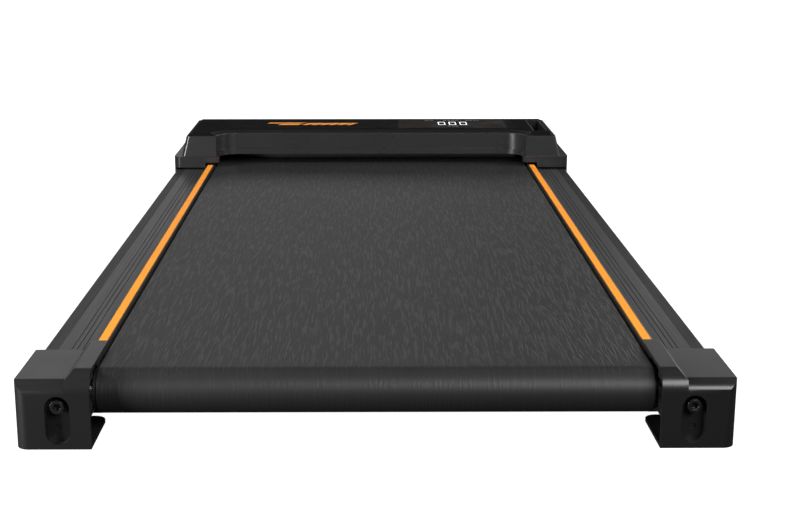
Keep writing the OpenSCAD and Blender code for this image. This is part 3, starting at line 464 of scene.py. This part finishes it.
def hood_outline(x, y0, y1, bay_x, bay_y, bay_r, corner):
    """The hood seen from above, right half from the middle of the bay round to the middle of the far side."""
    points = [(0.0, bay_y)]
    points += arc(bay_x - bay_r, bay_y - bay_r, bay_r, 90, 0)
    points += arc(bay_x + corner, y0 + corner, corner, 180, 270, 5)
    points += arc(x - corner, y0 + corner, corner, 270, 360, 5)
    points += arc(x - corner, y1 - corner, corner, 0, 90, 5)
    points += [(0.0, y1)]
    return points + [(-px, py) for px, py in reversed(points[1:-1])]


def loft(bm, outlines):
    """A ring of faces through outlines of equal count, each given as (points, height)."""
    loops = []
    for points, z in outlines:
        verts = [bm.verts.new((px, py, z)) for px, py in points]
        loops.append([bm.edges.new((verts[i - 1], verts[i])) for i in range(len(verts))])
    for low, high in zip(loops, loops[1:] + loops[:1]):
        bmesh.ops.bridge_loops(bm, edges=low + high)


ROOF_EDGE = 1.5 * MM


def inside(point, low, high, margin):
    """Whether a point lies over a box, seen from above."""
    return low.x - margin < point.x < high.x + margin and low.y - margin < point.y < high.y + margin


def make_hood():
    """The hood's shell: wide soft edges on its towers and round its roof, narrow ones elsewhere."""
    bm = merged_copy("hood")
    tower_y = HOOD_FACE + 12 * MM

    def tower_corner(e):
        a, b = (v.co for v in e.verts)
        upright = abs(a.z - b.z) > 0.9 * (a - b).length
        return upright and max(a.y, b.y) < tower_y and min(a.z, b.z) > 60 * MM and abs(a.x) > 230 * MM

    def roof_rim(e):
        middle = (e.verts[0].co + e.verts[1].co) / 2
        return (min(v.co.z for v in e.verts) > HOOD_ROOF - 0.05 * MM
                and not inside(middle, pocket_low, pocket_high, 3 * MM)
                and not inside(middle, digits_low, digits_high, 8 * MM))
    round_edges(bm, sharp_edges(bm, 28.0, tower_corner), 4.5 * MM, 5, clamp=False)
    round_edges(bm, sharp_edges(bm, 20.0, roof_rim), ROOF_EDGE, 4)
    round_edges(bm, sharp_edges(bm, 32.0), 0.9 * MM, 3)
    mark_sharp(bm, 45.0)
    piece = finished(bm, "hood_shell", "base", "shell_plastic", MATERIALS["hood_plastic"])
    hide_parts("hood")
    return piece


def make_bezel():
    """The sloping band between the hood's roof edge and the raised glossy panel, in a darker, barely
    reflecting copy of the hood plastic: painted shade that keeps the band dark.
    """
    wall_y = HOOD_FACE + 31 * MM
    bay_x = 206 * MM
    roof_x = 245 * MM
    roof_back = FRONT - 28 * MM
    panel_bay_x = 213.5 * MM
    panel_bay_y = wall_y + 18 * MM
    rim = ROOF_EDGE * 0.8
    outer = hood_outline(roof_x - rim, HOOD_FACE + 5.5 * MM + rim, roof_back - rim,
                         bay_x + rim, wall_y + rim, 28 * MM, 3.5 * MM)
    inner = hood_outline(panel_high.x + 0.1 * MM, panel_low.y - 0.1 * MM, panel_high.y + 0.1 * MM,
                         panel_bay_x - 0.1 * MM, panel_bay_y - 0.1 * MM, 30 * MM, 2 * MM)
    bm = bmesh.new()
    loft(bm, [(outer, HOOD_ROOF - 0.6 * MM), (outer, HOOD_ROOF + 0.05 * MM),
              (inner, PANEL_TOP - 0.5 * MM), (inner, HOOD_ROOF - 0.6 * MM)])
    bmesh.ops.recalc_face_normals(bm, faces=bm.faces)
    mark_sharp(bm, 60.0)
    return finished(bm, "hood_bezel", "base", "shell_plastic", MATERIALS["shaded_trim_plastic"])


# ---- digits, dashes and accent on the panel ----

def bar(bm, x0, x1, y0, y1, z0, z1, turn=0.0):
    """A thin raised bar, its top edges eased."""
    made = bmesh.ops.create_cube(bm, size=1.0)["verts"]
    centre = Vector(((x0 + x1) / 2, (y0 + y1) / 2, (z0 + z1) / 2))
    bmesh.ops.scale(bm, verts=made, vec=(x1 - x0, y1 - y0, z1 - z0))
    bmesh.ops.rotate(bm, verts=made, matrix=Matrix.Rotation(turn, 3, "Z"))
    bmesh.ops.translate(bm, verts=made, vec=centre)
    top = [e for e in {e for v in made for e in v.link_edges}
           if all(v.co.z > centre.z for v in e.verts)]
    round_edges(bm, top, min(0.2 * MM, (z1 - z0) / 3), 1)


def make_digits():
    """Three noughts on the display, each drawn by six bars."""
    bm = bmesh.new()
    z0, z1 = PANEL_TOP - 0.05 * MM, PANEL_TOP + 0.04 * MM
    width, height, stroke = 10 * MM, 27 * MM, 1.4 * MM
    flat_stroke = 1.9 * stroke
    first = digits_low.x + 1 * MM
    pitch = 15 * MM
    y0 = digits_low.y + 2.5 * MM
    for i in range(3):
        x0 = first + i * pitch
        x1, y1, middle = x0 + width, y0 + height, y0 + height / 2
        for x_near, x_far, y_near, y_far in (
                (x0 + stroke, x1 - stroke, y0, y0 + flat_stroke),
                (x0 + stroke, x1 - stroke, y1 - flat_stroke, y1),
                (x0, x0 + stroke, y0 + stroke / 2, middle - stroke / 3),
                (x0, x0 + stroke, middle + stroke / 3, y1 - stroke / 2),
                (x1 - stroke, x1, y0 + stroke / 2, middle - stroke / 3),
                (x1 - stroke, x1, middle + stroke / 3, y1 - stroke / 2)):
            bar(bm, x_near, x_far, y_near, y_far, z0, z1)
    return finished(bm, "display_figures", "base", "digit_white")


def make_dashes():
    """Plain dashes over and under the figures, where a display has its small captions."""
    bm = bmesh.new()
    z0, z1 = PANEL_TOP - 0.05 * MM, PANEL_TOP + 0.03 * MM
    over = window_high.y - 5 * MM
    under = digits_low.y - 8 * MM
    for x0, x1, y in ((76, 89, over), (102, 124.5, over), (134, 154, over), (105, 122, under)):
        count = max(2, round((x1 - x0) / 5.5))
        step = (x1 - x0) / count
        for i in range(count):
            left = (x0 + i * step) * MM
            bar(bm, left, left + (step - 1.4) * MM, y - 1.1 * MM, y + 1.1 * MM, z0, z1)
    return finished(bm, "display_captions", "base", "digit_white", MATERIALS["caption_grey"])


def make_accent():
    """A plain decoration on the panel: one long slanted bar and a row of short ones."""
    bm = bmesh.new()
    z0, z1 = PANEL_TOP - 0.05 * MM, PANEL_TOP + 0.03 * MM
    middle = window_low.y + 35 * MM

    slant = Matrix.Identity(4)
    slant[0][1] = 0.55

    def slanted_bar(x0, x1, y0, y1):
        before = len(bm.verts)
        bar(bm, x0, x1, y0, y1, z0, z1)
        bm.verts.ensure_lookup_table()
        centre = Matrix.Translation((0, -(y0 + y1) / 2, 0))
        bmesh.ops.transform(bm, verts=bm.verts[before:], matrix=slant, space=centre)
    slanted_bar(-142 * MM, -98 * MM, middle + 5 * MM, middle + 13 * MM)
    slanted_bar(-126 * MM, -98 * MM, middle - 9 * MM, middle + 1 * MM)
    for i in range(6):
        left = (-90 + i * 12) * MM
        slanted_bar(left, left + 7 * MM, middle - 9 * MM, middle + 9 * MM)
    return finished(bm, "panel_accent", "base", "stripe_orange")


# ---- put it together ----

make_belt()
make_hood()
make_bezel()
make_digits()
make_dashes()
make_accent()

EDGE_WIDTH = {
    "rail_left": 0.2, "rail_right": 0.2, "stripe_left": 0.12, "stripe_right": 0.12,
    "rear_cap_left": 0.7, "rear_cap_right": 0.7, "slot_cup_left": 0.5, "slot_cup_right": 0.5,
    "rear_bracket_left": 0.3, "rear_bracket_right": 0.3, "tension_block_left": 0.5,
    "tension_block_right": 0.5, "tension_screw_left": 0.4, "tension_screw_right": 0.4,
    "deck": 0.8, "deck_cushions": 0.4, "cross_bars": 0.4, "deck_screws": 0.25,
    "rear_roller": 0.3, "rear_roller_bearings": 0.2, "rear_roller_shaft": 0.5,
    "front_roller": 0.3, "front_roller_bearings": 0.2, "front_roller_shaft": 0.5,
    "roller_pulley": 0.15, "motor_housing": 0.8, "motor_bracket": 0.4, "motor_shaft": 0.4,
    "motor_pulley": 0.15, "cooling_fan": 0.2, "drive_belt": 0.2, "front_frame": 0.3,
    "frame_bolts": 0.3, "belt_guard": 0.3, "bottom_cover": 0.4, "cover_screws": 0.2, "top_panel": 0.35,
    "display_window": 0.2, "display_board": 0.2, "display_digits": 0.3, "remote_pocket": 0.25,
    "control_board": 0.2, "heat_sink": 0.2, "power_inlet": 0.3, "switch_body": 0.2,
    "switch_rocker": 0.4, "breaker_body": 0.3, "reset_button": 0.5, "wheel_left": 1.0,
    "wheel_right": 1.0, "wheel_axles": 0.4, "feet": 1.0, "cap_screws": 0.2,
}
for cad_node, millimetres in EDGE_WIDTH.items():
    dressed(cad_node, millimetres * MM)


# ---- stage, light and camera ----

def make_floor():
    """A pale floor that lights itself, so it stays even all round the object."""
    bm = bmesh.new()
    bmesh.ops.create_grid(bm, x_segments=1, y_segments=1, size=40.0)
    bmesh.ops.translate(bm, verts=bm.verts, vec=(0, 0, cad_low.z - 0.2 * MM))
    mesh = bpy.data.meshes.new("floor")
    bm.to_mesh(mesh)
    bm.free()
    floor = bpy.data.objects.new("floor", mesh)
    floor.visible_diffuse = False
    floor.visible_glossy = False
    scene.collection.objects.link(floor)
    material, tree, surface = start("pale_floor", 0.9)
    surface.inputs["Base Color"].default_value = (0.3, 0.3, 0.3, 1.0)
    surface.inputs["Emission Color"].default_value = (1.0, 1.0, 1.0, 1.0)
    surface.inputs["Emission Strength"].default_value = 1.0
    surface.inputs["Specular IOR Level"].default_value = 0.0
    mesh.materials.append(material)


def softbox(name, place, aim, width, height, brightness):
    """A plain rectangular lamp, its brightness given for each square metre of its face."""
    light = bpy.data.lights.new(name, "AREA")
    light.shape = "RECTANGLE"
    light.size, light.size_y = width, height
    light.energy = brightness * width * height * math.pi
    lamp = bpy.data.objects.new(name, light)
    lamp.location = place
    lamp.rotation_euler = (Vector(aim) - Vector(place)).to_track_quat("-Z", "Y").to_euler()
    scene.collection.objects.link(lamp)


def make_camera():
    """A long lens low behind the rear roller, turned a little down and to the right."""
    back, height, aside = 952.77 * MM, 378.79 * MM, -7.24 * MM
    tilt_down, turn_right = 13.942, 0.392
    camera = bpy.data.cameras.new("camera")
    camera.lens = 62.63
    camera.sensor_width = 36.0
    camera.shift_x = 0.0316
    camera.clip_end = 60.0
    eye = bpy.data.objects.new("camera", camera)
    eye.location = (aside, REAR - back, height)
    eye.rotation_euler = (math.radians(90.0 - tilt_down), 0.0, -math.radians(turn_right))
    scene.collection.objects.link(eye)
    scene.camera = eye


def make_world():
    """A faint even glow, so that no face is quite black."""
    world = bpy.data.worlds.new("studio")
    world.use_nodes = True
    background = world.node_tree.nodes["Background"]
    background.inputs["Color"].default_value = (1.0, 1.0, 1.0, 1.0)
    background.inputs["Strength"].default_value = 0.03
    scene.world = world


make_floor()
make_camera()
for name, place, aim, width, height, brightness in (
        ("back_strip", (-1.1, 3.0, 1.1), (0.0, 0.0, 0.0), 3.6, 0.9, 0.72),
        ("back_right", (1.15, 2.9, 0.68), (0.0, 0.0, 0.0), 0.6, 0.3, 2.6),
        ("back_right_low", (1.9, 2.2, 0.5), (0.0, 0.0, 0.0), 1.0, 0.6, 3.0),
        ("right_high", (2.0, 0.2, 1.7), (0.0, 0.0, 0.0), 1.2, 1.0, 9.5),
        ("left_high", (-2.0, 0.2, 1.7), (0.0, 0.0, 0.0), 1.2, 1.0, 9.0),
        ("right_side", (2.2, 0.1, 0.7), (0.0, 0.1, 0.0), 1.4, 0.8, 2.0),
        ("front_high", (1.1, -2.3, 1.5), (0.0, -0.4, 0.0), 1.6, 1.0, 10.5),
        ("front_left_low", (-1.1, -0.95, 0.2), (-0.25, -0.53, 0.05), 0.4, 0.3, 55.0)):
    softbox(name, place, aim, width, height, brightness)
make_world()
scene.view_settings.view_transform = "Standard"
